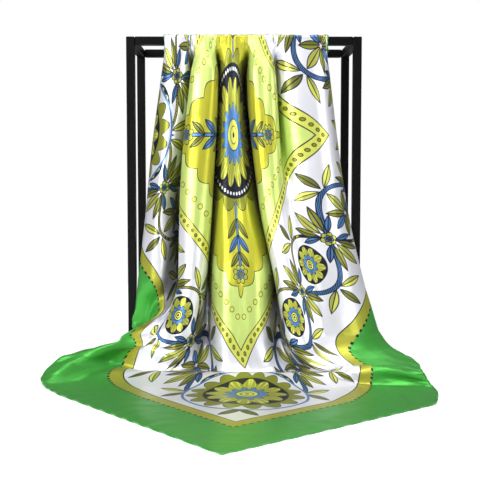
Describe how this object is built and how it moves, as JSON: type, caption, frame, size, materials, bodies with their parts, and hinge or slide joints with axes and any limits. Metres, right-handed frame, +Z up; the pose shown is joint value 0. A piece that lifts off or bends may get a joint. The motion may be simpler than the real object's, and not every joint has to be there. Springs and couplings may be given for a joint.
{
  "type": "square satin scarf draped over an open box stand",
  "caption": "Printed square satin scarf hung corner down over a black open box stand, its front corner spread on the floor.",
  "frame": {"origin": "middle of the whole model's box, on the floor", "axes": "+Z up, +Y from the viewer towards the back of the stand, +X to the viewer's right"},
  "size_m": [0.4362, 0.5364, 0.3906],
  "materials": {
    "satin": "printed satin, soft sheen",
    "stand_black": "black satin coat on square steel tube"
  },
  "bodies": {
    "root": {"scarf_front": "satin", "scarf_top": "satin", "scarf_back": "satin", "stand_front_post_left": "stand_black", "stand_front_post_right": "stand_black", "stand_front_rail": "stand_black", "stand_back_post_left": "stand_black", "stand_back_post_right": "stand_black", "stand_back_rail": "stand_black", "stand_side_rail_left": "stand_black", "stand_side_rail_right": "stand_black"}
  },
  "joints": []
}
